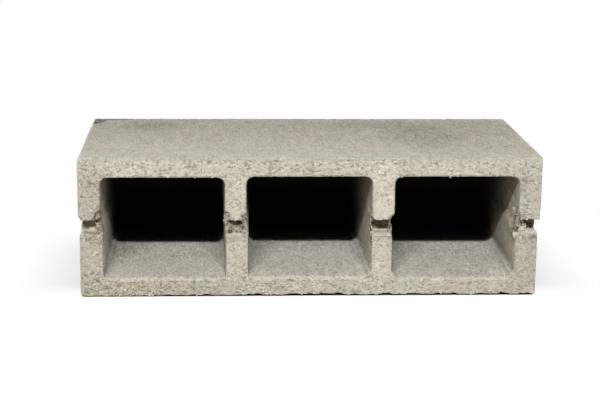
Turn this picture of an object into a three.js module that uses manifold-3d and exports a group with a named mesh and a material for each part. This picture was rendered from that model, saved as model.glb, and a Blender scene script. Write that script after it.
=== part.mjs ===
// A cellular concrete block: three tapered cells, open at one bed and closed at the other,
// with the slot of the core bar running across the open bed. It is cast in one piece.
//
// Millimetres, +Z up. The block lies on one face shell, as it does in a stack of samples:
//   X is its length, Y its course height (open bed at -Y, closed bed at +Y),
//   Z its thickness in the wall. The origin is on the ground, under the block's middle.

import * as THREE from 'three';
import { mergeVertices } from 'three/addons/utils/BufferGeometryUtils.js';
import Module from 'manifold-3d';

const wasm = await Module();
wasm.setup();

// ---- Driving dimensions -------------------------------------------------------------

// Outside of the unit
const unitLength = 390;
const courseHeight = 190;
const unitThickness = 120;
const mouldCornerRadius = 3; // the four edges cast in the mould's corners
const openArris = 0.8; // chamfer worn round the open bed
const closedArris = 1; // chamfer round the closed bed, cast on the pallet
const endStep = 1.4; // the lower half of each end stands this far back

// Walls, measured at the open bed
const cellCount = 3;
const faceShell = 16.4;
const endWall = 19.5;
const web = 18.5;
const closedEnd = 15; // the skin that closes the cells

// Cells
const cellCornerRadius = 6.5;
const cellDraft = 3; // how far each wall leans in by the time it reaches the closed end
const mouthFlare = 0.4; // the lip round each mouth
const coreTipRadius = 8; // rounding between a cell's walls and its closed end

// Slot that the core bar leaves across the open bed
const slotHeight = 11;
const slotDepth = 25;
const slotRise = 0.2; // its middle lies this far above the block's middle
const slotNoseRadius = 3;
const upperLip = 0.5;
const lowerLip = 2;
const slotCornerRadius = 4; // rounding of the walls' corners where the slot meets a cell

// Fineness of the curves
const cornerSegments = 5;
const tipSegments = 4;

// Every cutter runs this far past the face that it opens
const overrun = 2;

// ---- Sizes that follow --------------------------------------------------------------

const openBed = -courseHeight / 2;
const closedBed = courseHeight / 2;
const middle = unitThickness / 2;
const cellLength = (unitLength - 2 * endWall - (cellCount - 1) * web) / cellCount;
const cellWidth = unitThickness - 2 * faceShell;
const cellPitch = cellLength + web;
const cellEnd = closedBed - closedEnd;
const slotMiddle = middle + slotRise;
const slotBottom = slotMiddle - slotHeight / 2;
const slotTop = slotMiddle + slotHeight / 2;

// ---- Shapes and solids --------------------------------------------------------------

/** A rectangle with round corners, centred on the origin. */
function roundedRectangle(width, height, radius) {
  const x = width / 2;
  const y = height / 2;
  const shape = new THREE.Shape();
  shape.absarc(x - radius, y - radius, radius, 0, Math.PI / 2);
  shape.absarc(radius - x, y - radius, radius, Math.PI / 2, Math.PI);
  shape.absarc(radius - x, radius - y, radius, Math.PI, 1.5 * Math.PI);
  shape.absarc(x - radius, radius - y, radius, 1.5 * Math.PI, 2 * Math.PI);
  shape.closePath();
  return shape;
}

/** The block's outline seen on its bed, centred: its lower half is a step shorter at each end. */
function unitOutline() {
  const radius = mouldCornerRadius;
  const x = unitLength / 2;
  const y = unitThickness / 2;
  const lowerX = x - endStep;
  const shape = new THREE.Shape();
  shape.absarc(x - radius, y - radius, radius, 0, Math.PI / 2);
  shape.absarc(radius - x, y - radius, radius, Math.PI / 2, Math.PI);
  shape.lineTo(-x, slotTop - middle);
  shape.lineTo(-lowerX, slotBottom - middle);
  shape.absarc(radius - lowerX, radius - y, radius, Math.PI, 1.5 * Math.PI);
  shape.absarc(lowerX - radius, radius - y, radius, 1.5 * Math.PI, 2 * Math.PI);
  shape.lineTo(lowerX, slotBottom - middle);
  shape.lineTo(x, slotTop - middle);
  shape.closePath();
  return shape;
}

/**
 * Carries a centred outline along Y through a row of stations, given from +Y to -Y.
 * At each one the outline is drawn in from every side by the station's inset.
 */
function loft(outline, stations) {
  const geometry = new THREE.ExtrudeGeometry(outline, {
    depth: stations.length - 1,
    steps: stations.length - 1,
    bevelEnabled: false,
    curveSegments: cornerSegments,
  });
  const position = geometry.attributes.position;
  for (let i = 0; i < position.count; i += 1) {
    const { y, inset } = stations[Math.round(position.getZ(i))];
    const across = position.getX(i);
    const up = position.getY(i);
    position.setXYZ(i, across - Math.sign(across) * inset, up - Math.sign(up) * inset, -y);
  }
  return geometry.rotateX(Math.PI / 2);
}

/** Makes a solid that can be added to, cut or intersected. */
function solid(geometry) {
  const bare = geometry.clone();
  bare.deleteAttribute('normal');
  bare.deleteAttribute('uv');
  const merged = mergeVertices(bare, 1e-4);
  return new wasm.Manifold(new wasm.Mesh({
    numProp: 3,
    vertProperties: new Float32Array(merged.attributes.position.array),
    triVerts: new Uint32Array(merged.index.array),
  }));
}

/** Turns a finished solid back into a three.js geometry. */
function geometryOf(body) {
  const mesh = body.getMesh();
  const geometry = new THREE.BufferGeometry();
  geometry.setAttribute('position', new THREE.BufferAttribute(mesh.vertProperties, 3));
  geometry.setIndex(new THREE.BufferAttribute(mesh.triVerts, 1));
  geometry.computeVertexNormals();
  return geometry;
}

// ---- The block ----------------------------------------------------------------------

/** The full block before its cells are cored. */
function unitBody() {
  const stations = [
    { y: closedBed, inset: closedArris },
    { y: closedBed - closedArris, inset: 0 },
    { y: openBed + openArris, inset: 0 },
    { y: openBed, inset: openArris },
  ];
  return solid(loft(unitOutline(), stations).translate(0, 0, middle));
}

/** How far a cell's walls have leaned in at one distance from the open bed. */
function lean(y) {
  return (cellDraft * (y - openBed)) / (cellEnd - openBed);
}

/** The core that forms one cell: tapered, round at its tip and flared at its mouth. */
function cellCore(x) {
  const stations = [];
  for (let i = 0; i <= tipSegments; i += 1) {
    const angle = (i / tipSegments) * (Math.PI / 2);
    const y = cellEnd - coreTipRadius * (1 - Math.cos(angle));
    stations.push({ y, inset: lean(y) + coreTipRadius * (1 - Math.sin(angle)) });
  }
  const flareEnd = openBed + mouthFlare;
  stations.push({ y: flareEnd, inset: lean(flareEnd) });
  stations.push({ y: openBed, inset: -mouthFlare });
  stations.push({ y: openBed - overrun, inset: -mouthFlare });
  const outline = roundedRectangle(cellLength, cellWidth, cellCornerRadius);
  return solid(loft(outline, stations).translate(x, 0, middle));
}

/** The bar that carries the cores, with the worn lips of the slot it leaves. */
function coreBar() {
  const nose = slotNoseRadius;
  const section = new THREE.Shape();
  section.moveTo(-overrun, slotBottom - lowerLip);
  section.lineTo(0, slotBottom - lowerLip);
  section.lineTo(lowerLip, slotBottom);
  section.absarc(slotDepth - nose, slotBottom + nose, nose, -Math.PI / 2, 0);
  section.absarc(slotDepth - nose, slotTop - nose, nose, 0, Math.PI / 2);
  section.lineTo(upperLip, slotTop);
  section.lineTo(0, slotTop + upperLip);
  section.lineTo(-overrun, slotTop + upperLip);
  section.closePath();
  const barLength = unitLength + 2 * overrun;
  const geometry = new THREE.ExtrudeGeometry(section, {
    depth: barLength,
    bevelEnabled: false,
    curveSegments: cornerSegments,
  });
  // The section is drawn as (depth into the bed, height); its length turns to lie along X.
  const alongX = new THREE.Matrix4().makeBasis(
    new THREE.Vector3(0, 1, 0),
    new THREE.Vector3(0, 0, 1),
    new THREE.Vector3(1, 0, 0),
  );
  return solid(geometry.applyMatrix4(alongX).translate(-barLength / 2, openBed, 0));
}

/** The shoulders of one core, where the bar runs into it: they round the corners of its walls. */
function coreShoulders(x) {
  const radius = slotCornerRadius;
  const across = cellLength / 2 + radius;
  const up = slotHeight / 2 + radius;
  const quarter = Math.PI / 2;
  const outline = new THREE.Shape();
  outline.absarc(-across, up, radius, -quarter, 0);
  outline.absarc(across, up, radius, 2 * quarter, 3 * quarter);
  outline.absarc(across, -up, radius, quarter, 2 * quarter);
  outline.absarc(-across, -up, radius, 0, quarter);
  outline.closePath();
  const shoulderEnd = openBed + slotDepth - slotNoseRadius;
  const stations = [
    { y: shoulderEnd, inset: lean(shoulderEnd) },
    { y: openBed, inset: 0 },
    { y: openBed - overrun, inset: 0 },
  ];
  return solid(loft(outline, stations).translate(x, 0, slotMiddle));
}

function blockGeometry() {
  let block = unitBody();
  for (let i = 0; i < cellCount; i += 1) {
    const x = (i - (cellCount - 1) / 2) * cellPitch;
    block = block.subtract(cellCore(x)).subtract(coreShoulders(x));
  }
  return geometryOf(block.subtract(coreBar()));
}

const concrete = new THREE.MeshStandardMaterial({
  color: new THREE.Color(0.49, 0.455, 0.375),
  roughness: 0.95,
  metalness: 0,
});

const blockBody = new THREE.Mesh(blockGeometry(), concrete);
blockBody.name = 'block_body';

const concreteBlock = new THREE.Group();
concreteBlock.add(blockBody);

export default concreteBlock;
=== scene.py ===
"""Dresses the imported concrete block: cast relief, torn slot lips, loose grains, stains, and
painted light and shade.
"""

import itertools
import math

import bmesh
import bpy
import numpy as np
from mathutils import Matrix, Vector


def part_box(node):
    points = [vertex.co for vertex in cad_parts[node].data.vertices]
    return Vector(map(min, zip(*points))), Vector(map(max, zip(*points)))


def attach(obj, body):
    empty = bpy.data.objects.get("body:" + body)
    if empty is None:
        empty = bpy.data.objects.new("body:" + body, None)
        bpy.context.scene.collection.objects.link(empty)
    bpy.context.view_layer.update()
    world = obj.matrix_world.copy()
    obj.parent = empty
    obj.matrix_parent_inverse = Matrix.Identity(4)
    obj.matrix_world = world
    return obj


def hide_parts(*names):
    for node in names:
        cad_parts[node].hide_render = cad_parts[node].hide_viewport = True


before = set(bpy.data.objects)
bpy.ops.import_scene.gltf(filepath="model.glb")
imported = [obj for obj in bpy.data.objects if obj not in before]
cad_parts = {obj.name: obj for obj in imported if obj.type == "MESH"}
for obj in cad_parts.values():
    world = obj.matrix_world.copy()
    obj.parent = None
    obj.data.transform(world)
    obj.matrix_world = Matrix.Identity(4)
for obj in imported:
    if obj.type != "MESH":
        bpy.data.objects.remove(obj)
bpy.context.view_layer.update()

MM = 0.001

# ---- The unit's own sizes, in metres, as the solid has them --------------------------

LOW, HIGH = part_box("block_body")
UNIT_LENGTH, COURSE_HEIGHT, UNIT_THICKNESS = HIGH - LOW
OPEN_BED = LOW.y
CLOSED_BED = HIGH.y
CELL_COUNT = 3
FACE_SHELL = 16.4 * MM
END_WALL = 19.5 * MM
WEB = 18.5 * MM
CLOSED_END = 15 * MM
SLOT_HEIGHT = 11 * MM
SLOT_DEPTH = 25 * MM
SLOT_RISE = 0.2 * MM
MOULD_CORNER = 3 * MM  # the radius of the long outer edges
CELL_CORNER = 6.5 * MM  # and of the cells' corners at the open bed
CELL_DRAFT = 3 * MM  # how much each side of a cell leans in, from the open bed to its far end

CELL_LENGTH = (UNIT_LENGTH - 2 * END_WALL - (CELL_COUNT - 1) * WEB) / CELL_COUNT
CELL_PITCH = CELL_LENGTH + WEB
CELL_CENTRES = [(i - (CELL_COUNT - 1) / 2) * CELL_PITCH for i in range(CELL_COUNT)]
CELL_SIDES = [x + side for x in CELL_CENTRES for side in (-CELL_LENGTH / 2, CELL_LENGTH / 2)]
CELL_WIDTH = UNIT_THICKNESS - 2 * FACE_SHELL
CELL_END = CLOSED_BED - CLOSED_END
SLOT_MIDDLE = UNIT_THICKNESS / 2 + SLOT_RISE
SLOT_BOTTOM = SLOT_MIDDLE - SLOT_HEIGHT / 2
SLOT_TOP = SLOT_MIDDLE + SLOT_HEIGHT / 2

# ---- How finely the block is modelled -----------------------------------------------

VOXEL = 1.25 * MM
BED_BAND = 5 * MM  # this much of the block behind the open bed is modelled twice as finely
SLOT_BAND = 9 * MM  # and this much behind it round the slot
TRIANGLE_BUDGET = 190_000
MERGE_WITHIN = 0.01 * MM
GRAINS_PER_SQUARE_METRE = 100_000
SMALLEST_GRAIN = 0.35 * MM
LARGEST_GRAIN = 1.3 * MM
GRAIN_SEED = 7


# ---- Node trees as expressions ---------------------------------------------------------

class Value:
    """A shader socket that can be used in an expression."""

    def __init__(self, tree, socket):
        self.tree = tree
        self.socket = socket

    def _maths(self, operation, *operands):
        node = self.tree.nodes.new("ShaderNodeMath")
        node.operation = operation
        for slot, operand in zip(node.inputs, operands):
            if isinstance(operand, Value):
                self.tree.links.new(operand.socket, slot)
            else:
                slot.default_value = operand
        return Value(self.tree, node.outputs[0])

    def __add__(self, other):
        return self._maths("ADD", self, other)

    __radd__ = __add__

    def __sub__(self, other):
        return self._maths("SUBTRACT", self, other)

    def __rsub__(self, other):
        return self._maths("SUBTRACT", other, self)

    def __mul__(self, other):
        return self._maths("MULTIPLY", self, other)

    __rmul__ = __mul__

    def power(self, exponent):
        return self._maths("POWER", self, exponent)

    def most(self, other):
        return self._maths("MAXIMUM", self, other)

    def least(self, other):
        return self._maths("MINIMUM", self, other)

    def absolute(self):
        return self._maths("ABSOLUTE", self)

    def exponential(self):
        return self._maths("EXPONENT", self)


class NodeTree:
    """A node tree that is built up by expressions."""

    def __init__(self, tree):
        self.tree = tree
        tree.nodes.clear()

    def node(self, kind, settings=None, out=0, **inputs):
        """Adds a node: its settings first, then its sockets, by name or by number after a _."""
        made = self.tree.nodes.new(kind)
        for key, value in (settings or {}).items():
            setattr(made, key, value)
        for key, value in inputs.items():
            name_or_number = int(key[1:]) if key[0] == "_" else key.replace("_", " ")
            socket = made.inputs[name_or_number]
            if isinstance(value, Value):
                self.tree.links.new(value.socket, socket)
            else:
                socket.default_value = value
        return Value(self.tree, made.outputs[out]) if made.outputs else None


class Finish(NodeTree):
    """One material."""

    def __init__(self, name):
        self.material = bpy.data.materials.new(name)
        self.material.use_nodes = True
        super().__init__(self.material.node_tree)

    def place(self, scale=(1, 1, 1), shift=(0, 0, 0)):
        """Object coordinates in millimetres, stretched by a scale."""
        coordinates = self.node("ShaderNodeTexCoord", out=3)
        size = [1000 * s for s in scale]
        return self.node("ShaderNodeMapping", Vector=coordinates, Scale=size, Location=shift)

    def axes(self):
        """How far along, behind and up each point lies, in millimetres, as three numbers."""
        parts = self.node("ShaderNodeSeparateXYZ", Vector=self.place())
        return [Value(self.tree, output) for output in parts.socket.node.outputs]

    def cloud(self, size, detail=2.0, roughness=0.5, scale=(1, 1, 1), shift=(0, 0, 0)):
        """Noise from 0 to 1 whose lumps are about that many millimetres across."""
        where = self.place(scale, shift)
        return self.node(
            "ShaderNodeTexNoise", Vector=where, Scale=1 / size, Detail=detail, Roughness=roughness
        )

    def stones(self, size):
        """Cells that many millimetres across, each with a random colour of its own."""
        return self.node("ShaderNodeTexVoronoi", out=1, Vector=self.place(), Scale=1 / size)

    def gaps(self, size):
        """How far the joints of those same cells lie, from 0 in a joint."""
        settings = {"feature": "DISTANCE_TO_EDGE"}
        return self.node("ShaderNodeTexVoronoi", settings, Vector=self.place(), Scale=1 / size)

    def step(self, value, low, high):
        """0 up to low, 1 from high on, and smooth between; low may be the larger of the two."""
        return self.node(
            "ShaderNodeMapRange", {"interpolation_type": "SMOOTHSTEP"},
            Value=value, From_Min=low, From_Max=high,
        )

    def share(self, name):
        """A number that was stored at each point of the mesh."""
        return self.node("ShaderNodeAttribute", {"attribute_name": name}, out=2)

    def blend(self, factor, first, second, how="MIX"):
        """Two colours mixed by a factor."""
        settings = {"data_type": "RGBA", "blend_type": how}
        return self.node("ShaderNodeMix", settings, out=2, _0=factor, _6=first, _7=second)

    def channel(self, colour, index):
        """The red, green or blue of a colour, by its number."""
        return self.node("ShaderNodeSeparateColor", out=index, Color=colour)

    def output(self, shader):
        self.node("ShaderNodeOutputMaterial", Surface=shader)
        return self.material


# ---- Repeatable noise on arrays of points -------------------------------------------

def hashed(lattice, seed):
    """A repeatable number from 0 to 1 for each whole-number lattice point."""
    n = lattice.astype(np.int64).astype(np.uint32)
    h = n[:, 0] * np.uint32(0x8DA6B343)
    h ^= n[:, 1] * np.uint32(0xD8163841)
    h ^= n[:, 2] * np.uint32(0xCB1AB31F)
    h ^= np.uint32((seed * 0x9E3779B9) & 0xFFFFFFFF)
    for shift, factor in ((15, 0x2C1B3C6D), (12, 0x297A2D39)):
        h ^= h >> np.uint32(shift)
        h *= np.uint32(factor)
    h ^= h >> np.uint32(15)
    return h / 2.0**32


def smoothstep(low, high, value):
    """0 up to low, 1 from high on, and smooth between."""
    t = np.clip((value - low) / (high - low), 0, 1)
    return t * t * (3 - 2 * t)


def noise(points, size, seed):
    """Smooth noise from -1 to 1 with lumps of that size: one length, or one for each axis."""
    p = points / np.asarray(size)
    base = np.floor(p)
    part = p - base
    part = part * part * (3 - 2 * part)
    total = np.zeros(len(p))
    for corner in itertools.product((0, 1), repeat=3):
        weight = np.prod(np.where(corner, part, 1 - part), axis=1)
        total += weight * hashed(base + corner, seed)
    return 2 * total - 1


def packed_stones(points, size, seed):
    """The height, from 0 in the gaps to 1 on the crowns, of stones packed at that spacing."""
    p = points / size
    base = np.floor(p)
    height = np.zeros(len(p))
    for corner in itertools.product((-1, 0, 1), repeat=3):
        cell = base + corner
        centre = cell + np.stack([hashed(cell, seed + i) for i in range(3)], axis=1)
        radius = 0.45 + 0.45 * hashed(cell, seed + 3)
        reach = np.linalg.norm(p - centre, axis=1) / radius
        height = np.maximum(height, np.sqrt(np.clip(1 - reach * reach, 0, 1)) * radius)
    return np.clip(height / 0.9, 0, 1)


# ---- This one block's inaccuracies and damage, in millimetres -------------------------

# The cores stood a little off their places, so both sides of every wall did too. Each row runs
# from the left end to the right end: the end face, then the two sides of each cell, then the end.
# The first two rows hold above and below the slot. The third is added to both in step with the
# distance behind the open bed, and is reached at LEANS_AT.
SIDES_OFF_ABOVE = [0.0, -0.6, -1.56, -1.8, -0.6, 0.1, 0.5, 0.0]
SIDES_OFF_BELOW = [-0.6, 1.2, -0.8, -0.2, -0.6, -1.5, -1.8, -0.3]
SIDES_OFF_BEHIND = [0.0, -2.1, 0.0, 0.0, -0.7, 0.0, 2.2, 0.0]
LEANS_AT = 114

# And how far the upper and the lower side of each cell lie off their places.
CELL_TOPS_OFF = [-1.1, -0.4, -0.4]
CELL_FLOORS_OFF = [-0.2, 0.7, -0.6]

# The lower corners of the cells, as the cell and its side: how much squarer than round each one is
# at the mouth (or, below 0, rounder).
MOUTH_CORNERS = {
    (0, -1): 0.75, (0, 1): 0.75,
    (1, -1): 0.75, (1, 1): -0.35,
    (2, -1): -0.35, (2, 1): -0.7,
}

# Where a wall's side is worn in: the side, which way its concrete lies, the middle of the place up
# the block, half its height, and how deep it is.
WORN_SIDES = [
    (195.0, -1, 71.0, 9.0, 0.45),
    (-195.0, 1, 64.5, 5.5, 1.5),
    (71.2, -1, 64.5, 8.0, 2.7),
]

# The left upper edge is worn rounder by the open bed: to what radius, and how far behind.
WORN_EDGE_RADIUS = 4.6
WORN_EDGE_LENGTH = 20

# Lower corners of the upper half that the core bar broke off: where the wall's side is, which way
# its concrete lies, how wide and how high the break is, and how far it stands back.
BROKEN_CORNERS = [
    (-174.4, -1, 7.5, 9.5, 3.8),
    (-194.9, 1, 2.6, 4.2, 5.0),
    (-72.2, 1, 6.0, 9.0, 3.4),
    (-53.0, -1, 5.0, 7.5, 2.4),
    (50.8, 1, 3.0, 2.5, 1.6),
    (71.2, -1, 5.0, 5.5, 2.4),
    (173.6, 1, 4.6, 9.0, 2.6),
]

# Where the bar tore the concrete beside and under the slot: the middle of each place along the
# block and up it, and its half widths.
TORN_PLACES = [
    (-177.0, 62.0, 4.5, 7.0),
    (-184.0, 56.8, 9.0, 2.8),
    (-70.8, 62.0, 3.4, 8.0),
    (-55.2, 61.5, 4.2, 8.0),
    (-62.5, 58.6, 8.0, 3.6),
    (69.2, 62.0, 2.0, 6.0),
    (176.0, 64.5, 4.0, 4.5),
    (180.5, 62.3, 3.6, 2.2),
]

# Concrete that the bar left in its slot, as blocks: from and to along the block, how far behind
# the bed it begins, and its lowest and highest point.
SLOT_FILLS = [
    (-193.6, -175.0, 11.5, 52.0, 68.0),
    (-180.6, -175.0, 7.0, 50.2, 70.5),
    (-192.0, -177.0, 2.4, 52.0, 54.8),
    (-72.5, -53.0, 8.0, 52.0, 68.0),
    (-72.5, -69.4, 2.6, 50.2, 70.5),
    (-69.8, -66.6, 3.6, 50.2, 60.6),
    (-67.0, -59.0, 1.8, 52.0, 57.4),
    (-60.0, -57.2, 3.6, 50.2, 60.6),
    (-57.6, -53.0, 3.2, 50.2, 70.5),
    (50.5, 69.6, 16.0, 52.0, 68.0),
    (50.5, 52.4, 7.0, 50.2, 70.5),
    (67.4, 69.6, 3.0, 50.2, 70.5),
    (173.0, 194.4, 20.0, 52.0, 68.0),
    (173.0, 177.0, 2.6, 50.2, 70.5),
    (176.6, 183.2, 0.8, 52.0, 62.4),
    (182.0, 193.6, 1.6, 52.0, 55.8),
]
SLOT_FILL_END = 28.0  # behind the bed

# Grains lost from the right end beside the open bed: how high each lay, and its radius.
END_CHIPS = [(118, 1.2), (76, 1.4)]
END_CHIP_MIDDLE = (0.6, 0.5)  # past the end, and before the bed

# Grains lost along the edges round the open bed and round the cells' mouths.
EDGE_CHIPS = 130
EDGE_CHIP_SEED = 5
EDGE_CHIP_RADII = (0.9, 2.0)


# ---- Where a point of the block lies -------------------------------------------------

def depth_of(points):
    """How far each point lies behind the open bed."""
    return points[:, 1] - OPEN_BED


def into_wall(points):
    """How far each point lies past a cell's side, into a web or an end wall; negative in a cell."""
    from_middle = np.min([np.abs(points[:, 0] - x) for x in CELL_CENTRES], axis=0)
    return from_middle - CELL_LENGTH / 2


def slot_share(points):
    """1 inside the slot of the core bar, fading out just past its lips and at the cells."""
    rise = np.abs(points[:, 2] - SLOT_MIDDLE)
    in_height = 1 - smoothstep(SLOT_HEIGHT / 2 + 0.2 * MM, SLOT_HEIGHT / 2 + 1.4 * MM, rise)
    in_depth = 1 - smoothstep(SLOT_DEPTH + 0.5 * MM, SLOT_DEPTH + 3 * MM, depth_of(points))
    return in_height * in_depth * smoothstep(0, 2 * MM, into_wall(points))


def bed_share(points):
    """1 on the cast bed, fading raggedly a millimetre or two behind it and by its upper edge."""
    ragged = 0.6 * MM * noise(points, 4 * MM, 11) + 0.5 * MM * noise(points, 1.8 * MM, 12)
    behind = smoothstep(0.5 * MM, 1.6 * MM, depth_of(points) + ragged)
    above = smoothstep(HIGH.z - 2.9 * MM, HIGH.z - 1.7 * MM, points[:, 2] + ragged)
    return (1 - behind) * (1 - above)


def breaks(points):
    """For each broken corner, how far inside it each point lies, and how far it stands back.

    The first is 0 at the edge of the break and 1 at the corner itself.
    """
    for x, inward, width, height, depth in BROKEN_CORNERS:
        across = inward * (points[:, 0] / MM - x) / width
        up = np.maximum(points[:, 2] - SLOT_TOP, 0) / MM / height
        inside = 1 - np.hypot(np.maximum(across, 0), up)
        within = (points[:, 2] > SLOT_BOTTOM) & (np.abs(across) < 1.5)
        yield np.where(within, inside, -1), depth * MM


def torn_share(points):
    """1 where the core bar tore the concrete, 0 away from it."""
    near = np.zeros(len(points))
    for inside, _ in breaks(points):
        near = np.maximum(near, smoothstep(-0.12, 0.12, inside))
    for x, z, half_x, half_z in TORN_PLACES:
        across = (points[:, 0] / MM - x) / half_x
        up = (points[:, 2] / MM - z) / half_z
        near = np.maximum(near, 1 - smoothstep(0.85, 1.3, np.hypot(across, up)))
    return near * (1 - smoothstep(9 * MM, 14 * MM, depth_of(points)))


def torn_hollows(points):
    """How deep each point of a torn place lies between its crumbs: 0 to 1."""
    coarse = 0.75 * noise(points, 2.8 * MM, 42)
    fine = 0.6 * noise(points, 1.5 * MM, 43)
    return np.clip(0.35 + coarse + fine, 0, 1)


# ---- The block's relief ---------------------------------------------------------------

def edge_chips():
    """Small bites scattered along the edges: the middle and the radius of each."""
    rng = np.random.default_rng(EDGE_CHIP_SEED)
    chips = []
    for _ in range(EDGE_CHIPS):
        radius = rng.uniform(*EDGE_CHIP_RADII) * MM
        off = radius * rng.uniform(0.5, 0.85)
        y = OPEN_BED - off * rng.uniform(0.2, 1.0)
        x = rng.uniform(LOW.x, HIGH.x)
        z = rng.choice([LOW.z - off, HIGH.z + off])
        kind = rng.random()
        if kind < 0.2:
            x = rng.choice([LOW.x - off, HIGH.x + off])
            z = rng.uniform(LOW.z, HIGH.z)
        elif kind < 0.5:
            mouth = CELL_WIDTH / 2 - off
            x = rng.choice(CELL_CENTRES) + rng.uniform(-0.45, 0.45) * CELL_LENGTH
            z = UNIT_THICKNESS / 2 + rng.choice([-mouth, mouth])
        chips.append(((x, y, z), radius))
    return chips


def end_chips():
    """The bites out of the right end, as edge_chips gives them."""
    out, before = END_CHIP_MIDDLE
    x, y = HIGH.x + out * MM, OPEN_BED - before * MM
    return [((x, y, z * MM), radius * MM) for z, radius in END_CHIPS]


def bite(points, centre, radius, seed):
    """Pushes the points inside a rough ball out to its surface, which hollows the concrete."""
    away = points - np.array(centre)
    reach = np.linalg.norm(away, axis=1)
    near = reach < 1.6 * radius
    fine = 0.16 * noise(points[near], 0.9 * MM, seed + 1)
    rough = 1 + 0.28 * noise(points[near], 1.9 * MM, seed) + fine
    pushed = np.maximum(reach[near], radius * rough)
    points[near] = centre + away[near] * (pushed / reach[near])[:, None]


def walls_off(x, z, behind):
    """How far the sides of the walls lie off their places at each point along, up and behind."""
    stations = [LOW.x, *CELL_SIDES, HIGH.x]
    above = np.interp(x, stations, SIDES_OFF_ABOVE)
    below = np.interp(x, stations, SIDES_OFF_BELOW)
    upper = smoothstep(SLOT_BOTTOM, SLOT_TOP, z)
    leaning = np.interp(x, stations, SIDES_OFF_BEHIND) * behind / (LEANS_AT * MM)
    return MM * (below + (above - below) * upper + leaning)


def shells_off(points):
    """How far the two long sides of each cell lie off their places, up the block."""
    tops = np.interp(points[:, 0], CELL_SIDES, np.repeat(CELL_TOPS_OFF, 2))
    floors = np.interp(points[:, 0], CELL_SIDES, np.repeat(CELL_FLOORS_OFF, 2))
    up = points[:, 2]
    ceiling = UNIT_THICKNESS - FACE_SHELL
    by_top = np.interp(up, [SLOT_TOP + 6 * MM, ceiling, UNIT_THICKNESS], [0, 1, 0])
    by_floor = np.interp(up, [0, FACE_SHELL, SLOT_BOTTOM - 6 * MM], [0, 1, 0])
    return MM * (tops * by_top + floors * by_floor)


def wear_sides(points):
    """Wears the sides of the walls in beside the open bed, at the places listed above."""
    by_bed = 1 - smoothstep(12 * MM, 32 * MM, depth_of(points))
    for x, inward, middle, half, deep in WORN_SIDES:
        worn = 1 - smoothstep(0.35, 1, np.abs(points[:, 2] / MM - middle) / half)
        worn *= points[:, 2] > SLOT_MIDDLE
        near = 1 - smoothstep(0, 8, np.abs(points[:, 0] / MM - x))
        rough = 1 + 0.35 * noise(points, 2.5 * MM, 64)
        points[:, 0] += inward * deep * MM * worn * near * by_bed * rough


def break_corners(points):
    """Stands the front of each broken corner back, with a steep edge and a rough face."""
    rough = 1 + 0.30 * noise(points, 3.2 * MM, 61) + 0.22 * noise(points, 1.6 * MM, 62)
    for inside, depth in breaks(points):
        inside = inside + 0.10 * noise(points, 3 * MM, 63)
        steep = 0.75 * smoothstep(0, 0.22, inside) + 0.25 * smoothstep(0.2, 1, inside)
        front = depth * rough * steep
        behind = depth_of(points)
        at = behind < front
        points[at, 1] += 0.9 * (front - behind)[at]


def square_up(points, place, side, radius, share):
    """Fills a round corner towards a square one, by a share of 0 to 1, or cuts it, by one below 0.

    place is the middle of its arc and side its quadrant, each along the block and up it.
    """
    across = side[0] * (points[:, 0] - place[0])
    up = side[1] * (points[:, 2] - place[1])
    reach = np.hypot(across, up)
    at = (across > 0) & (up > 0) & (reach > 0.5 * radius) & (reach < 2 * radius)
    steepest = np.maximum(across, up)[at] / reach[at]
    fade = 1 - smoothstep(1.15 * radius, 2 * radius, reach[at])
    share = np.broadcast_to(share, len(points))[at]
    grown = 1 + (share * fade * (1 / steepest - 1)) * radius / reach[at]
    points[at, 0] += side[0] * across[at] * (grown - 1)
    points[at, 2] += side[1] * up[at] * (grown - 1)


def square_corners(points):
    """Sharpens the upper long edges, and makes the cells' lower corners squarer or rounder."""
    behind = depth_of(points)
    left_share = 0.75 * smoothstep(10 * MM, 110 * MM, behind)
    for side, share in ((-1, left_share), (1, 0.75)):
        place = (side * (HIGH.x - MOULD_CORNER), HIGH.z - MOULD_CORNER)
        square_up(points, place, (side, 1), MOULD_CORNER, share)
    inset = CELL_CORNER + CELL_DRAFT * behind / (CELL_END - OPEN_BED)
    deep = smoothstep(3 * MM, 60 * MM, behind)
    for (cell, side), at_mouth in MOUTH_CORNERS.items():
        place = (CELL_CENTRES[cell] + side * (CELL_LENGTH / 2 - inset), FACE_SHELL + inset)
        share = at_mouth * (1 - deep) - 0.4 * deep
        square_up(points, place, (side, -1), CELL_CORNER, share)


def wear_floors(points):
    """Rounds the edge where the floor of each cell meets the open bed."""
    half = CELL_LENGTH / 2
    in_cell = 1 - smoothstep(half - 10 * MM, half - 2 * MM, into_wall(points) + half)
    near = np.clip(1 - depth_of(points) / (6 * MM), 0, 1) ** 2
    up = points[:, 2]
    lifted = smoothstep(FACE_SHELL - 9 * MM, FACE_SHELL, up) * (up < UNIT_THICKNESS / 2)
    rough = 1 + 0.5 * noise(points, (5 * MM, 3 * MM, 9 * MM), 65)
    points[:, 2] -= 1.5 * MM * in_cell * near * lifted * rough


def wear_edge(points, side, radius, length):
    """Rounds an upper long edge: most at the open bed, and not at all from that length on."""
    kept = 1 - smoothstep(0, length, depth_of(points))
    round_radius = MOULD_CORNER + (radius - MOULD_CORNER) * kept
    across = side * points[:, 0] - (HIGH.x - round_radius)
    up = points[:, 2] - (HIGH.z - round_radius)
    reach = np.hypot(across, up)
    rough = round_radius * (1 + 0.05 * noise(points, 5 * MM, 71))
    outside = (across > 0) & (up > 0) & (reach > rough) & (kept > 0)
    pull = rough[outside] / reach[outside]
    points[outside, 0] = side * ((HIGH.x - round_radius)[outside] + across[outside] * pull)
    points[outside, 2] = (HIGH.z - round_radius)[outside] + up[outside] * pull


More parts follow.
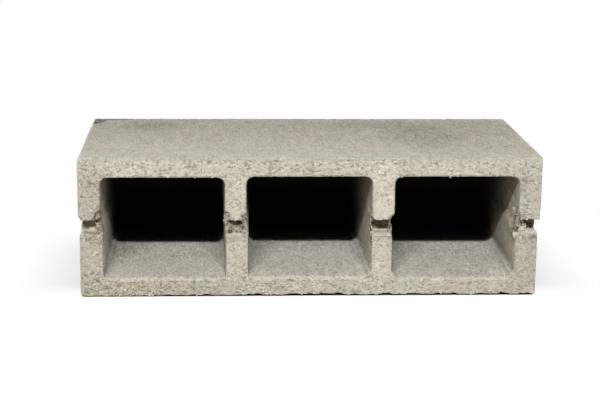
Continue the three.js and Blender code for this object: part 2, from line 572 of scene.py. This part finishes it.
def crumble_foot(points):
    """Lifts the lower edge of the open bed off the ground, raggedly, and least near its ends."""
    along = points[:, 0]
    strong = smoothstep(-150 * MM, -115 * MM, along) * (1 - smoothstep(184 * MM, 192 * MM, along))
    level = points * (1, 0, 0)
    ragged = 0.75 + 0.4 * noise(level, 11 * MM, 81) + 0.35 * noise(level, 4 * MM, 82)
    lift = np.clip((0.5 + 1.5 * strong) * ragged, 0.15, 3.0) * MM
    back = np.clip(1 - depth_of(points) / (9 * MM), 0, 1) ** 0.5
    points[:, 2] = np.maximum(points[:, 2], lift * back)


def packed_share(points):
    """1 on the ends and webs of the bed, whose concrete is packed more tightly, 0 on its shells."""
    return 1 - smoothstep(32 * MM, 44 * MM, np.abs(points[:, 2] - UNIT_THICKNESS / 2))


def cast_grain(points):
    """The stones that show on the open bed, coarse and fine, and the pits between: each 0 to 1."""
    coarse = packed_stones(points, 2.4 * MM, 21)
    fine = packed_stones(points, 1.5 * MM, 31)
    thick = 0.15 * noise(points, (18 * MM, 18 * MM, 9 * MM), 45)
    pits = smoothstep(0.36, 0.68, noise(points, (2.5 * MM, 1.8 * MM, 1.2 * MM), 44) + thick)
    return coarse, fine, pits


def relief_depth(points, facing):
    """How far the real surface lies under the ideal one.

    facing is 1 where the surface faces straight out of the open bed, and 0 where it faces away.
    """
    bed = bed_share(points) * (0.3 + 0.7 * facing)
    slot = slot_share(points)
    torn = torn_share(points)
    rough = np.maximum.reduce([bed, slot, 0.7 * torn])
    depth = np.zeros(len(points))
    at = rough > 0.01
    cast = points[at]
    coarse, fine, pits = cast_grain(cast)
    closer_right = 1 - 0.35 * smoothstep(20 * MM, 120 * MM, cast[:, 0])
    open_grained = closer_right * (1 - 0.3 * packed_share(cast))
    grain = 0.30 * MM * (1 - coarse) ** 1.5 + 0.24 * MM * (1 - fine) + 0.6 * MM * pits
    depth[at] += rough[at] * open_grained * grain
    hollows = torn_hollows(cast)
    depth[at] += hollows * MM * (0.9 * slot[at] + (0.6 + 0.9 * facing[at]) * torn[at])
    # The moulded faces and the cells are dragged along Y as the mould and its cores are drawn.
    smooth = 1 - rough
    dragged = 0.5 + 0.5 * noise(points, (2.6 * MM, 16 * MM, 2.6 * MM), 51)
    wavy = 0.5 + 0.5 * noise(points, 34 * MM, 52)
    pores = smoothstep(0.70, 0.9, noise(points, 3.0 * MM, 54))
    moulded = 0.08 * MM * wavy + 0.14 * MM * dragged + 0.5 * MM * pores
    return depth + smooth * moulded


def mesh_points(mesh):
    flat = np.empty(len(mesh.vertices) * 3, np.float32)
    mesh.vertices.foreach_get("co", flat)
    return flat.reshape(-1, 3).astype(float)


def mesh_normals(mesh):
    flat = np.empty(len(mesh.vertices) * 3, np.float32)
    mesh.vertices.foreach_get("normal", flat)
    return flat.reshape(-1, 3).astype(float)


def set_points(mesh, points):
    mesh.vertices.foreach_set("co", points.astype(np.float32).ravel())
    mesh.update()


def evaluated_mesh(obj, name):
    """A plain mesh of what an object's modifiers make of it."""
    graph = bpy.context.evaluated_depsgraph_get()
    mesh = bpy.data.meshes.new_from_object(obj.evaluated_get(graph), depsgraph=graph)
    mesh.name = name
    return mesh


def with_modifier(mesh, kind, **settings):
    """The mesh after one modifier."""
    obj = bpy.data.objects.new("work", mesh)
    bpy.context.scene.collection.objects.link(obj)
    modifier = obj.modifiers.new("work", kind)
    for key, value in settings.items():
        setattr(modifier, key, value)
    made = evaluated_mesh(obj, mesh.name)
    bpy.data.objects.remove(obj)
    return made


def mark_shares(mesh):
    """Stores what each point belongs to, for the finishes and the grains to read."""
    points = mesh_points(mesh)
    normals = mesh_normals(mesh)
    # The painted shade inside the slot keeps off its floor, which the lamp lights, and off the
    # block's end faces.
    lying = smoothstep(0.4, 0.8, normals[:, 2])
    by_end = np.abs(points[:, 0]) > HIGH.x - 3 * MM
    at_end = smoothstep(0.5, 0.85, np.abs(normals[:, 0])) * by_end
    deep = smoothstep(2.5 * MM, 9 * MM, depth_of(points))
    slot_shade = deep * (1 - 0.8 * lying) * (1 - 0.85 * at_end)
    coarse, fine, pits = cast_grain(points)
    torn = torn_share(points)
    shares = {
        "bed": np.maximum(bed_share(points), torn),
        "slot": slot_share(points) * slot_shade,
        "torn": torn,
        "hollow": torn_hollows(points),
        "crown": (0.6 * coarse + 0.4 * fine) * (1 - pits),
        "pit": pits,
    }
    for name, values in shares.items():
        attribute = mesh.attributes.new(name, "FLOAT", "POINT")
        attribute.data.foreach_set("value", values.astype(np.float32))


def in_fine_band(place):
    """Whether a place lies so near the open bed that its faces are split once more."""
    by_slot = abs(place.z - SLOT_MIDDLE) < 1.3 * SLOT_HEIGHT
    return place.y < OPEN_BED + (SLOT_BAND if by_slot else BED_BAND)


def finer_bed(mesh):
    """Splits the faces of the open bed and of the slot's lips once more."""
    form = bmesh.new()
    form.from_mesh(mesh)
    edges = [e for e in form.edges if all(in_fine_band(v.co) for v in e.verts)]
    bmesh.ops.subdivide_edges(form, edges=edges, cuts=1, use_grid_fill=True)
    bmesh.ops.triangulate(form, faces=form.faces)
    form.to_mesh(mesh)
    form.free()


def block_mesh():
    """The solid's own shape with the concrete left in its slot, eroded, and thinned where plain."""
    form = bmesh.new()
    form.from_mesh(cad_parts["block_body"].data)
    bmesh.ops.remove_doubles(form, verts=form.verts, dist=MERGE_WITHIN)
    for left, right, behind, lowest, highest in SLOT_FILLS:
        left, right = (x - walls_off(x * MM, SLOT_MIDDLE, 0) / MM for x in (left, right))
        middle = Vector((left + right, behind + SLOT_FILL_END, lowest + highest)) * 0.5 * MM
        size = Vector((right - left, SLOT_FILL_END - behind, highest - lowest)) * MM
        middle.y += OPEN_BED
        placed = Matrix.Translation(middle) @ Matrix.Diagonal((*size, 1))
        bmesh.ops.create_cube(form, size=1, matrix=placed)
    mesh = bpy.data.meshes.new("concrete_block")
    form.to_mesh(mesh)
    form.free()
    mesh = with_modifier(mesh, "REMESH", mode="VOXEL", voxel_size=VOXEL, adaptivity=0)
    finer_bed(mesh)
    mark_shares(mesh)
    points = mesh_points(mesh)
    normals = mesh_normals(mesh)
    facing = smoothstep(0.2, 0.8, -normals[:, 1])
    points -= normals * relief_depth(points, facing)[:, None]
    for number, (centre, radius) in enumerate(end_chips() + edge_chips()):
        bite(points, centre, radius, 90 + 2 * number)
    square_corners(points)
    wear_floors(points)
    points[:, 2] += shells_off(points)
    points[:, 0] += walls_off(points[:, 0], points[:, 2], depth_of(points))
    wear_sides(points)
    wear_edge(points, -1, WORN_EDGE_RADIUS * MM, WORN_EDGE_LENGTH * MM)
    break_corners(points)
    crumble_foot(points)
    set_points(mesh, np.clip(points, LOW, HIGH))
    ratio = TRIANGLE_BUDGET / len(mesh.polygons)
    return with_modifier(mesh, "DECIMATE", ratio=min(1.0, ratio))


def add_piece(name, mesh, finish):
    """Makes a mesh a piece of the block that rides with it."""
    mesh.materials.clear()
    mesh.materials.append(finish)
    piece = bpy.data.objects.new(name, mesh)
    bpy.context.scene.collection.objects.link(piece)
    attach(piece, "root")
    return piece


def make_block():
    mesh = block_mesh()
    mesh.polygons.foreach_set("use_smooth", np.ones(len(mesh.polygons), bool))
    block = add_piece("concrete_block", mesh, concrete())
    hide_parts("block_body")
    return block


# ---- Loose grains on the cast bed -----------------------------------------------------

def grain_tree():
    """Scatters small rough stones over the cast bed and the torn places."""
    scatter = NodeTree(bpy.data.node_groups.new("bed_grains", "GeometryNodeTree"))
    face = scatter.tree.interface
    face.new_socket("Geometry", in_out="INPUT", socket_type="NodeSocketGeometry")
    sockets = {
        name: face.new_socket(name, in_out="INPUT", socket_type=kind).identifier
        for name, kind in (
            ("Grains per Square Metre", "NodeSocketFloat"),
            ("Smallest Radius", "NodeSocketFloat"),
            ("Largest Radius", "NodeSocketFloat"),
            ("Seed", "NodeSocketInt"),
            ("Finish", "NodeSocketMaterial"),
        )
    }
    face.new_socket("Geometry", in_out="OUTPUT", socket_type="NodeSocketGeometry")

    node = scatter.node
    group_inputs = [node("NodeGroupInput", out=i) for i in range(6)]
    block, density, smallest, largest, seed, finish = group_inputs

    def random_vector(low, high):
        settings = {"data_type": "FLOAT_VECTOR"}
        return node("FunctionNodeRandomValue", settings, _0=(low,) * 3, _1=(high,) * 3, Seed=seed)

    def random_number():
        settings = {"data_type": "FLOAT"}
        return node("FunctionNodeRandomValue", settings, out=1, _2=0.0, _3=1.0, Seed=seed)

    bed = node("GeometryNodeInputNamedAttribute", {"data_type": "FLOAT"}, Name="bed")
    on_bed = node("FunctionNodeCompare", {"data_type": "FLOAT"}, A=bed, B=0.7)
    points = node(
        "GeometryNodeDistributePointsOnFaces",
        Mesh=block, Selection=on_bed, Density=density, Seed=seed,
    )
    radius = node(
        "ShaderNodeMapRange", Value=random_number().power(2.5), To_Min=smallest, To_Max=largest
    )
    size = node(
        "ShaderNodeVectorMath", {"operation": "SCALE"}, Vector=random_vector(0.6, 1.2), Scale=radius
    )
    stone = node("GeometryNodeMeshIcoSphere", Radius=1.0, Subdivisions=1)
    placed = node(
        "GeometryNodeInstanceOnPoints", Points=points, Instance=stone,
        Rotation=random_vector(0, math.tau), Scale=size,
    )
    with_tone = node(
        "GeometryNodeStoreNamedAttribute", {"data_type": "FLOAT", "domain": "INSTANCE"},
        Geometry=placed, Name="tone", Value=random_number(),
    )
    real = node("GeometryNodeRealizeInstances", Geometry=with_tone)
    node("NodeGroupOutput", _0=node("GeometryNodeSetMaterial", Geometry=real, Material=finish))
    return scatter.tree, sockets


def make_grains(block):
    """Scatters the grains over a copy of the block, and keeps them as a piece of their own."""
    finish = grain_stone()
    tree, sockets = grain_tree()
    carrier = bpy.data.objects.new("carrier", block.data.copy())
    bpy.context.scene.collection.objects.link(carrier)
    scatter = carrier.modifiers.new("grains", "NODES")
    scatter.node_group = tree
    sizes = {
        "Grains per Square Metre": GRAINS_PER_SQUARE_METRE,
        "Smallest Radius": SMALLEST_GRAIN,
        "Largest Radius": LARGEST_GRAIN,
        "Seed": GRAIN_SEED,
        "Finish": finish,
    }
    for name, value in sizes.items():
        scatter[sockets[name]] = value
    mesh = evaluated_mesh(carrier, "bed_grains")
    bpy.data.objects.remove(carrier)
    points = mesh_points(mesh)
    set_points(mesh, np.clip(points, LOW, HIGH))
    return add_piece("bed_grains", mesh, finish)


# ---- Finishes --------------------------------------------------------------------------

def rgb(red, green, blue):
    return (red, green, blue, 1.0)


# Where the speckle of the cored and of the moulded faces is taken from its noise.
CORE_DRAG = (0, 5, 0)
MOULD_DRAG = (4, 9, 2)
STONE_SIZE = 1.9  # of the stones in the open bed's paste, in millimetres
# The torn concrete is olive, and its dark colour is partly a painted shade of the torn recesses.
TORN_CONCRETE_AND_SHADE = rgb(0.25, 0.22, 0.155)


def toned(f, colour, tone):
    """A colour made lighter or darker by a number that varies."""
    grey = f.node("ShaderNodeCombineColor", Red=tone, Green=tone, Blue=tone)
    return f.blend(1.0, colour, grey, "MULTIPLY")


def patch(f, first, second, centre, half_widths):
    """1 in the middle of a soft oval patch, 0 outside it; the sizes are in millimetres."""
    across = (first - centre[0]) * (1 / half_widths[0])
    up = (second - centre[1]) * (1 / half_widths[1])
    return f.step(across * across + up * up, 1.0, 0.0)


def dragged_grain(f, shift):
    """Speckle that the mould or a core drew out along Y, fine and coarse, each about 0.5."""
    fine = f.cloud(1.5, detail=3, roughness=0.8, scale=(1, 0.28, 1), shift=shift)
    coarse = f.cloud(6, detail=2, roughness=0.6, scale=(1, 0.4, 1), shift=shift)
    return fine, coarse


# Stains of the upper face: where each one's middle lies along the block and behind the open bed,
# its half widths, and how much darker it is.
UPPER_STAINS = [
    ((125, 70), (80, 120), 0.05),
    ((105, 100), (45, 80), 0.12),
    ((-140, 150), (34, 34), 0.14),
    ((60, 158), (45, 30), 0.10),
]


def moulded_colour(f, along, behind, up):
    """The smooth outer faces: paler and greyer by both beds, browner between, and painted shade
    behind.
    """
    patches = f.cloud(26, detail=4, roughness=0.6)
    fine, coarse = dragged_grain(f, MOULD_DRAG)
    ragged = behind + 24 * (patches - 0.5)
    pale = f.step(ragged, 34, 6).most(f.step(ragged, 162, 180))
    grey, brown = rgb(0.518, 0.485, 0.412), rgb(0.500, 0.453, 0.372)
    colour = f.blend(f.step(patches, 0.36, 0.64), grey, brown)
    colour = f.blend(pale, colour, rgb(0.522, 0.494, 0.424))
    tone = 0.885 + 1.20 * (fine - 0.5) + 0.42 * (coarse - 0.5) + 0.20 * (patches - 0.5)
    # Painted shade: the faces darken towards the closed bed, as the lamp's light falls off along
    # the top.
    tone = tone - 0.20 * f.step(behind, 10, 178)
    # Painted shade on the arris by the open bed: it is painted darker, so that it catches less
    # light than its slope would give it.
    tone = tone - 0.13 * f.step(up, 117.0, 119.2) * f.step(behind, 4.0, 1.2)
    on_top = f.step(up, 112, 118)
    for centre, half_widths, darker in UPPER_STAINS:
        tone = tone - darker * on_top * patch(f, along, ragged, centre, half_widths)
    # The far arris is darker, most of all at its left corner.
    back = 1000 * COURSE_HEIGHT
    far_edge_dark = 0.30 * f.step(behind, back - 3.5, back - 1.5)
    far_left = (-197, back + 4)
    along_it = patch(f, along, ragged, far_left, (62, 17))
    smear = along_it.most(patch(f, along, ragged, far_left, (18, 44)))
    far_edge_dark = far_edge_dark.most(0.46 * f.step(smear, 0.0, 0.4))
    return toned(f, colour, tone - far_edge_dark * on_top)


# Paler (or, below 0, darker) places on the floors of the cells: where each one's middle lies along
# the block and behind the bed, its half widths, and how much paler it is. The darker one, at the
# back of the left cell, is a painted shadow of that cell's left wall.
FLOOR_PATCHES = [
    ((-160, 105), (30, 50), -0.16),
    ((0, 72), (50, 26), 0.08),
]

# The painted shade deep in the cells, where the lamp's light does not reach: how far behind the
# open bed it begins, and how fast it darkens for each millimetre from there, on the floors and high
# up the walls.
PAINTED_SHADE_ON_FLOORS = (114, 0.085)
PAINTED_SHADE_ON_WALLS = (30, 0.012)
# The walls are painted darker inward too, a painted shade.
WALL_SHADE_FADE = 0.0095  # how fast the walls darken for each millimetre behind the bed


def painted_shade_tone(f, behind, above_floor):
    """Painted shade: 1 where there is none, falling to 0, beginning sooner and more softly up the
    walls.
    """
    floor_start, floor_rate = PAINTED_SHADE_ON_FLOORS
    wall_start, wall_rate = PAINTED_SHADE_ON_WALLS
    higher = f.step(above_floor, 6, 54)
    start = floor_start - (floor_start - wall_start) * higher
    rate = wall_rate + (floor_rate - wall_rate) * (1.0 - higher).power(1.5)
    return ((start - behind).least(0.0) * rate).exponential()


def wall_tone(f, along, behind, up):
    """The cells' walls, with painted light by the open bed and on the end walls, and painted shade
    inward.
    """
    above_floor = up - 1000 * FACE_SHELL
    at_left = f.step(along, -160, -170)
    at_right = f.step(along, 150, 165)
    low = f.step(above_floor, 44, 12)
    lowest = f.step(above_floor, 24, 8)
    # Painted light: the walls are painted paler than the concrete by the open bed, and more so on
    # the end walls, most low on the left one; low on the right one it turns to painted shade.
    tone = 1.48 + at_left * (0.14 + 0.20 * low) + at_right * (0.14 - 0.42 * lowest)
    # Inward it fades, a painted shade.
    tone = tone * (behind * -WALL_SHADE_FADE).exponential()
    # By the slot, near the open bed, the walls lose that painted light and are no paler than the
    # bed.
    by_slot = f.step((up - 1000 * SLOT_MIDDLE).absolute(), 20, 11) * f.step(behind, 22, 8)
    # Painted shade high on the walls near the open bed, under the upper shell.
    high = f.step(up, 70, 88) * f.step(behind, 62, 22)
    return tone - 0.55 * by_slot - 0.42 * high


def cored_colour(f, along, behind, up):
    """The cells: grey floors, greener walls with painted light by the open bed and painted shade
    inward.
    """
    patches = f.cloud(20, detail=3, roughness=0.55, shift=(3, 0, 8))
    fine, coarse = dragged_grain(f, CORE_DRAG)
    above_floor = up - 1000 * FACE_SHELL
    wall = f.step(above_floor, 5, 10)
    colour = f.blend(f.step(behind, 14, 3), rgb(0.515, 0.492, 0.440), rgb(0.520, 0.485, 0.405))
    colour = f.blend(wall, colour, rgb(0.50, 0.465, 0.375))
    specks = f.step(fine, 0.42, 0.30)
    tone = 1.03 + 1.85 * (fine - 0.5) + 0.60 * (coarse - 0.5) + 0.12 * (patches - 0.5)
    tone = tone - 0.26 * specks
    # Paler and darker places on the floors, one of them a painted shadow.
    for centre, half_widths, paler in FLOOR_PATCHES:
        tone = tone + paler * patch(f, along, behind, centre, half_widths)
    on_floor = 0.93 - 0.09 * f.step(behind, 10, 75)
    on_wall = wall_tone(f, along, behind, up)
    inward = f.channel(f.blend(wall, on_floor, on_wall), 0)
    # Painted shade darkens the cells further in.
    return toned(f, colour, tone * inward * painted_shade_tone(f, behind, above_floor))


# Paler and darker places on the open bed: where each patch's middle lies along the block and up it,
# its half widths, and how much paler (or, below 0, darker) it is.
BED_PATCHES = [
    ((0, 120), (900, 22), 0.05),
    ((0, 0), (900, 26), -0.06),
    ((0, 52), (900, 5.5), -0.17),
    ((-62, 90), (13, 34), 0.08),
    ((-62, 30), (13, 34), 0.01),
    ((62, 88), (13, 34), 0.19),
    ((62, 30), (13, 34), 0.10),
    ((-186, 90), (22, 40), -0.18),
    ((186, 90), (22, 40), -0.04),
    ((186, 40), (24, 40), -0.14),
    ((-186, 30), (20, 40), -0.13),
    ((-130, 6), (70, 16), -0.10),
    ((120, 6), (80, 16), 0.03),
    ((80, 112), (70, 14), 0.02),
]


def slot_shade_colour(f, along, up):
    """The inside of the slot: painted shade, dark and streaked with paste, a little paler at the
    left end.
    """
    streaks = f.cloud(2.2, detail=3, roughness=0.7, scale=(0.45, 1, 1.5), shift=(5, 5, 5))
    paler = 0.09 * patch(f, along, up, (-186, 60), (16, 14))
    paste = f.step(streaks + paler, 0.39, 0.65)
    return f.blend(paste, rgb(0.12, 0.095, 0.068), rgb(0.52, 0.45, 0.34))


def cast_colour(f, along, up):
    """The open bed: warm paste with pale and dark grains, and painted shade in pits and torn
    places.
    """
    crown = f.share("crown")
    pit = f.share("pit")
    torn = f.share("torn")
    slot = f.share("slot")
    hollow = f.share("hollow")
    patches = f.cloud(15, detail=3, roughness=0.6, shift=(1, 2, 3))
    fines = f.cloud(1.0, detail=2, roughness=0.75, scale=(0.75, 1, 1.2), shift=(2, 2, 2))
    thick = f.cloud(16, detail=2, roughness=0.6, scale=(0.6, 1, 1), shift=(4, 4, 1))
    pinholes = f.cloud(1.5, detail=1, roughness=0.6, scale=(0.55, 1, 1.25), shift=(9, 1, 4))
    pinholes = f.step(pinholes + 0.20 * (thick - 0.5), 0.39, 0.28)
    stone = f.stones(STONE_SIZE)
    kind = f.channel(stone, 1)
    jointed = f.step(f.cloud(5, shift=(7, 0, 5)), 0.42, 0.58)
    joints = f.step(f.gaps(STONE_SIZE), 0.11, 0.02) * jointed
    brown_paste, pale_paste = rgb(0.478, 0.438, 0.354), rgb(0.520, 0.486, 0.405)
    colour = f.blend(f.step(patches, 0.35, 0.65), brown_paste, pale_paste)
    colour = f.blend(f.step(kind, 0.93, 0.95) * 0.5, colour, rgb(0.63, 0.595, 0.50))
    colour = f.blend(f.step(kind, 0.08, 0.06) * 0.6, colour, rgb(0.25, 0.225, 0.18))
    lower_left = patch(f, along, up, (-140, 6), (60, 15))
    rusty = f.step(kind, 0.55, 0.58) * f.step(kind, 0.75, 0.72)
    colour = f.blend(rusty * lower_left * 0.85, colour, rgb(0.50, 0.40, 0.24))
    mossy = patch(f, along, up, (-186, 2), (36, 9))
    colour = f.blend(mossy * 0.35, colour, rgb(0.40, 0.42, 0.24))
    packed = f.step((up - 60).absolute(), 44, 32)
    open_grained = (1.0 - 0.22 * f.step(along, 20, 120)) * (1.0 - 0.28 * packed)
    open_grained = open_grained + 0.25 * lower_left
    # The stones' crowns are painted a little paler, a painted light; the joints between them and
    # the pinholes are painted darker, a painted shade.
    grain = 0.20 * (f.channel(stone, 0) - 0.5) + 1.10 * (fines - 0.5) + 0.12 * crown
    tone = 1.00 + open_grained * (grain - 0.32 * joints - 0.30 * pinholes)
    for centre, half_widths, paler in BED_PATCHES:
        tone = tone + paler * patch(f, along, up, centre, half_widths)
    # The right end is torn into fine level cracks beside the cell.
    tears = f.cloud(2.4, detail=2, roughness=0.6, scale=(0.3, 1, 1.7), shift=(3, 8, 1))
    cracked = f.step(tears, 0.50, 0.42) * patch(f, along, up, (179, 84), (13, 30))
    tone = tone - 0.34 * cracked
    colour = toned(f, colour, tone)
    # Painted shade in the pits.
    colour = f.blend(pit * (0.55 - 0.25 * packed), colour, rgb(0.20, 0.175, 0.13))
    # The torn concrete is olive, partly a painted shade of its recesses, and between its crumbs it
    # is painted darker still, a painted shade.
    colour = f.blend(torn * 0.65, colour, TORN_CONCRETE_AND_SHADE)
    colour = f.blend(torn * f.step(hollow, 0.30, 0.90), colour, rgb(0.09, 0.072, 0.048))
    # Painted shade in the recess by the broken corner at the left end.
    shaded_recess = patch(f, along, up, (-177.5, 60.5), (6.5, 10))
    colour = f.blend(shaded_recess * torn * 0.55, colour, rgb(0.12, 0.10, 0.07))
    # Painted shade inside the slot, streaked with paste.
    return f.blend(slot * 0.9, colour, slot_shade_colour(f, along, up))


def inside_cells(f, along, behind, up):
    """1 on every face inside the block, 0 on its outer faces."""
    middle = 500 * UNIT_THICKNESS
    end = 1000 * HIGH.x
    back = 1000 * COURSE_HEIGHT
    from_shells = f.step((up - middle).absolute(), middle - 9, middle - 13)
    from_ends = f.step(along.absolute(), end - 8, end - 12)
    from_beds = f.step(behind, 0.8, 2.0) * f.step(behind, back - 6, back - 9)
    return from_shells * from_ends * from_beds


def concrete():
    """Dry-cast concrete: a warm open bed, greyer moulded faces and grey cored cells."""
    f = Finish("dry_cast_concrete")
    along, across, up = f.axes()
    behind = across - 1000 * OPEN_BED
    cast = f.share("bed").most(f.share("slot"))
    inside = inside_cells(f, along, behind, up)
    moulded = moulded_colour(f, along, behind, up)
    colour = f.blend(inside, moulded, cored_colour(f, along, behind, up))
    colour = f.blend(cast, colour, cast_colour(f, along, up))
    dragged = dragged_grain(f, CORE_DRAG)[0]
    grainy = f.cloud(0.9, detail=4, roughness=0.75)
    height = f.channel(f.blend(cast, dragged, grainy), 0)
    bumped = f.node("ShaderNodeBump", Strength=0.8, Distance=0.45 * MM, Height=height)
    shader = f.node(
        "ShaderNodeBsdfPrincipled",
        Base_Color=colour, Roughness=0.95, Specular_IOR_Level=0.2, Normal=bumped,
    )
    return f.output(shader)


def grain_stone():
    """The loose grains: sand in the colours of the paste, a few pale and a few dark."""
    f = Finish("sand_grains")
    tone = f.share("tone")
    colour = f.blend(f.step(tone, 0.0, 0.85), rgb(0.36, 0.33, 0.265), rgb(0.52, 0.487, 0.407))
    colour = f.blend(f.step(tone, 0.95, 0.97), colour, rgb(0.60, 0.57, 0.485))
    colour = f.blend(f.step(tone, 0.08, 0.06), colour, rgb(0.20, 0.18, 0.145))
    # On the torn places the grains take the torn colour, partly painted shade.
    colour = f.blend(f.share("torn") * 0.5, colour, TORN_CONCRETE_AND_SHADE)
    shader = f.node(
        "ShaderNodeBsdfPrincipled", Base_Color=colour, Roughness=0.9, Specular_IOR_Level=0.25
    )
    return f.output(shader)


# ---- Stage: floor, background, light and camera ---------------------------------------

CAMERA_PLACE = Vector((-72.98, -1338.79, 368.12)) * MM
CAMERA_YAW = -0.0511  # to the right of straight ahead, in radians as the next two are
CAMERA_PITCH = -0.2245  # downwards
CAMERA_ROLL = 0.0096
FOCAL_LENGTH = 91.49  # on a 36 mm wide sensor

# Each lamp: its size across and up, its power in watts, where it stands as an azimuth (from the
# open bed round to the right) and an elevation in degrees, and its distance from the block.
LAMPS = {
    "key": (1.35, 0.075, 96.0, -4.9, 37.25, 2.67),
    "overhead": (1.2, 1.2, 4.0, 180, 75, 1.6),
    "rear": (1.6, 0.3, 22.0, 180, 3, 1.8),
    "left side": (0.5, 0.3, 16.0, 250, 4, 1.5),
    "right side": (0.5, 0.3, 16.0, 110, 4, 1.5),
}
WORLD_FILL = 0.03
FLOOR_RADIUS = 1.0
FLOOR_BOUNCE = 0.25
FLOOR_SIDES = 64
SHADE_REACH = 62 * MM  # how far from the block the floor is shaded
SHADE_DEPTH = 0.45  # and by how much, were it shut in on all sides
CONTACT_REACH = 6 * MM
SHADE_SAMPLES = 16


def make_camera():
    camera = bpy.data.objects.new("camera", bpy.data.cameras.new("camera"))
    camera.data.lens = FOCAL_LENGTH
    camera.data.sensor_width = 36
    bpy.context.scene.collection.objects.link(camera)
    turned = (
        Matrix.Rotation(CAMERA_YAW, 4, "Z")
        @ Matrix.Rotation(math.pi / 2 + CAMERA_PITCH, 4, "X")
        @ Matrix.Rotation(CAMERA_ROLL, 4, "Z")
    )
    camera.matrix_world = Matrix.Translation(CAMERA_PLACE) @ turned
    bpy.context.scene.camera = camera


def make_lights():
    target = Vector((0, OPEN_BED, UNIT_THICKNESS / 2))
    for name, (across, up, power, azimuth, elevation, distance) in LAMPS.items():
        lamp = bpy.data.objects.new(name, bpy.data.lights.new(name, "AREA"))
        lamp.data.shape = "RECTANGLE"
        lamp.data.size = across
        lamp.data.size_y = up
        lamp.data.energy = power
        lamp.visible_camera = False
        bpy.context.scene.collection.objects.link(lamp)
        turn = math.radians(azimuth)
        rise = math.radians(elevation)
        towards = Vector(
            (math.sin(turn) * math.cos(rise), -math.cos(turn) * math.cos(rise), math.sin(rise))
        )
        lamp.location = target + towards * distance
        lamp.rotation_mode = "QUATERNION"
        lamp.rotation_quaternion = (-towards).to_track_quat("-Z", "Y")


def seen_white(tree, plain, seen):
    """One shader for light that is bounced, another for what the camera and mirrors see."""
    camera_ray, glossy_ray, transmitted_ray = 0, 3, 6
    by_camera = tree.node("ShaderNodeLightPath", out=camera_ray)
    by_mirror = tree.node("ShaderNodeLightPath", out=glossy_ray)
    through_glass = tree.node("ShaderNodeLightPath", out=transmitted_ray)
    factor = by_camera.most(by_mirror).most(through_glass)
    return tree.node("ShaderNodeMixShader", _0=factor, _1=plain, _2=seen)


def floor_finish():
    """White to the camera, and shaded beside and under the block."""
    f = Finish("pale_floor")
    plain = f.node("ShaderNodeBsdfDiffuse", Color=rgb(FLOOR_BOUNCE, FLOOR_BOUNCE, FLOOR_BOUNCE))
    settings = {"samples": SHADE_SAMPLES}
    open_sky = f.node("ShaderNodeAmbientOcclusion", settings, out=1, Distance=SHADE_REACH)
    gap = f.node("ShaderNodeAmbientOcclusion", settings, out=1, Distance=CONTACT_REACH)
    # The light comes over the open bed, so the floor before it stays clear.
    beside = f.step(f.axes()[1] - 1000 * OPEN_BED, 0, 45)
    shade = 1.0 - SHADE_DEPTH * beside * (1.0 - open_sky)
    tone = shade * f.step(gap, 0.15, 0.48)
    colour = f.node("ShaderNodeCombineColor", Red=tone, Green=tone, Blue=tone)
    seen = f.node("ShaderNodeEmission", Color=colour, Strength=1.0)
    return f.output(seen_white(f, plain, seen))


def make_stage():
    mesh = bpy.data.meshes.new("floor")
    form = bmesh.new()
    bmesh.ops.create_circle(form, cap_ends=True, segments=FLOOR_SIDES, radius=FLOOR_RADIUS)
    form.to_mesh(mesh)
    form.free()
    mesh.materials.append(floor_finish())
    floor = bpy.data.objects.new("floor", mesh)
    bpy.context.scene.collection.objects.link(floor)

    world = bpy.data.worlds.new("studio")
    world.use_nodes = True
    bpy.context.scene.world = world
    sky = NodeTree(world.node_tree)
    fill = sky.node("ShaderNodeBackground", Color=rgb(1, 1, 1), Strength=WORLD_FILL)
    white = sky.node("ShaderNodeBackground", Color=rgb(1, 1, 1), Strength=1.0)
    sky.node("ShaderNodeOutputWorld", Surface=seen_white(sky, fill, white))


bpy.context.scene.view_settings.view_transform = "Standard"
make_camera()
make_lights()
make_stage()
make_grains(make_block())
